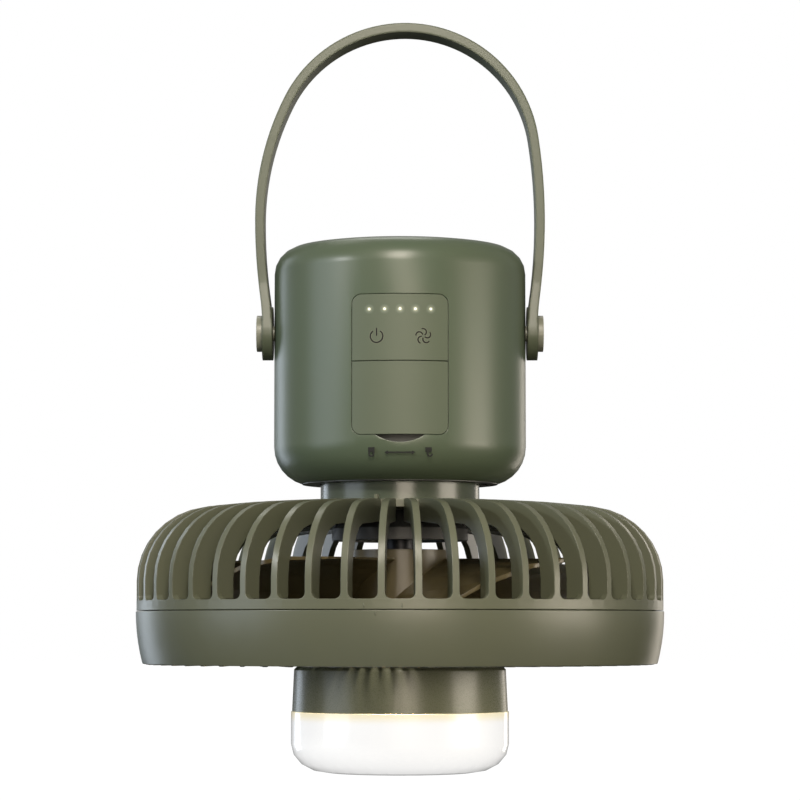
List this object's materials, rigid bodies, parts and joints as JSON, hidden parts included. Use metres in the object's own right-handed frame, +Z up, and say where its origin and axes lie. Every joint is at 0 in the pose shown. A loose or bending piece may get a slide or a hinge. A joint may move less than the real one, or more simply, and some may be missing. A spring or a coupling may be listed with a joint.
{
  "type": "portable camping fan",
  "caption": "Hanging camping fan with a lantern: a round grille head twists off a battery base with push buttons, a port flap and a swinging carry strap.",
  "frame": {"origin": "centre of the lantern's flat bottom, on the fan's axis, where the fan stands", "axes": "+Z up the fan's axis towards the carry strap, -Y out of the control panel, +X to the right of someone who looks at the panel"},
  "size_m": [0.205, 0.205, 0.2928],
  "materials": {
    "shell_plastic": "semi-matte moulded ABS, olive green",
    "lantern_plastic": "polished moulded ABS, dark olive",
    "diffuser_plastic": "milky white polycarbonate, glowing warm white",
    "blade_plastic": "moulded ABS, dark olive brown",
    "strap_plastic": "flexible moulded polypropylene, olive green",
    "pin_plastic": "moulded nylon, olive green",
    "panel_plastic": "semi-matte moulded ABS, dark olive",
    "button_plastic": "semi-matte moulded ABS, dark olive, printed sign",
    "foot_rubber": "matte moulded rubber",
    "inner_plastic": "matte moulded ABS, dark grey",
    "window_plastic": "clear acrylic, lit warm white",
    "led_package": "LED packages, white body and yellow phosphor",
    "circuit_board": "green solder mask on glass fibre board",
    "led_board_mask": "white solder mask on an aluminium core board",
    "screw_steel": "black zinc plated steel",
    "shaft_steel": "ground steel",
    "bearing_steel": "ground bearing steel",
    "spring_steel": "phosphated spring steel",
    "can_steel": "deep drawn zinc plated steel",
    "sleeve_brass": "turned brass",
    "contact_brass": "gold plated brass",
    "stack_steel": "stack of silicon steel sheets",
    "winding_copper": "enamelled copper wire",
    "magnet_plating": "nickel plated neodymium",
    "cell_wrap": "heat-shrunk PVC wrap",
    "strip_nickel": "spot-welded nickel strip",
    "socket_steel": "tin plated steel shell",
    "socket_plastic": "white nylon connector",
    "switch_plastic": "tact switch, black body"
  },
  "bodies": {
    "base": {"base_shell": "shell_plastic", "bayonet_ring": "inner_plastic", "bayonet_screws": "screw_steel", "battery_tray": "inner_plastic", "tray_screws": "screw_steel", "battery_lid": "inner_plastic", "battery_cells": "cell_wrap", "battery_strips": "strip_nickel", "contact_pins": "contact_brass", "base_end_plate": "shell_plastic", "foot_ring": "foot_rubber", "end_screws": "screw_steel", "panel_frame": "inner_plastic", "control_panel": "panel_plastic", "indicator_lights": "window_plastic", "control_board": "circuit_board", "tact_switches": "switch_plastic", "indicator_leds": "led_package", "board_screws": "screw_steel", "port_board": "circuit_board", "port_board_screws": "screw_steel", "usb_c_socket": "socket_steel", "usb_a_socket": "socket_steel", "handle_pins": "pin_plastic"},
    "handle": {"handle_strap": "strap_plastic"},
    "fan_head": {"rear_guard": "shell_plastic", "motor_mount": "inner_plastic", "motor_board": "circuit_board", "bearing_sleeve": "sleeve_brass", "bearings": "bearing_steel", "motor_stator": "stack_steel", "motor_windings": "winding_copper", "lamp_tube": "shaft_steel", "mount_screws": "screw_steel", "neck_collar": "shell_plastic", "neck_screws": "screw_steel", "contact_plate": "circuit_board"},
    "front_guard": {"front_guard": "shell_plastic", "lantern_housing": "lantern_plastic", "lantern_diffuser": "diffuser_plastic", "led_board": "led_board_mask", "led_chips": "led_package", "led_board_screws": "screw_steel", "lantern_screws": "screw_steel", "lantern_socket": "socket_plastic"},
    "impeller": {"impeller": "blade_plastic", "rotor_can": "can_steel", "rotor_magnets": "magnet_plating", "rotor_shaft": "shaft_steel", "impeller_nut": "shaft_steel", "retaining_ring": "spring_steel"},
    "port_flap": {"port_flap": "panel_plastic"},
    "power_button": {"power_button": "button_plastic"},
    "fan_button": {"fan_button": "button_plastic"}
  },
  "joints": [
    {"name": "handle_swing", "type": "hinge", "parent": "base", "child": "handle", "pos_m": [0, 0, 0.1707], "axis": [1, 0, 0], "range_deg": [-115, 115]},
    {"name": "head_twist", "type": "hinge", "parent": "base", "child": "fan_head", "pos_m": [0, 0, 0.1111], "axis": [0, 0, 1], "range_deg": [0, 25.2]},
    {"name": "guard_twist", "type": "hinge", "parent": "fan_head", "child": "front_guard", "pos_m": [0, 0, 0.0622], "axis": [0, 0, 1], "range_deg": [0, 5.3]},
    {"name": "impeller_spin", "type": "hinge", "parent": "fan_head", "child": "impeller", "pos_m": [0, 0, 0.0815], "axis": [0, 0, 1], "continuous": true},
    {"name": "flap_hinge", "type": "hinge", "parent": "base", "child": "port_flap", "pos_m": [0, -0.0492, 0.15575], "axis": [-1, 0, 0], "range_deg": [0, 110]},
    {"name": "power_press", "type": "slide", "parent": "base", "child": "power_button", "axis": [0, 1, 0], "range_m": [0, 0.0006], "stiffness_N_per_m": 300},
    {"name": "fan_press", "type": "slide", "parent": "base", "child": "fan_button", "axis": [0, 1, 0], "range_m": [0, 0.0006], "stiffness_N_per_m": 300}
  ]
}
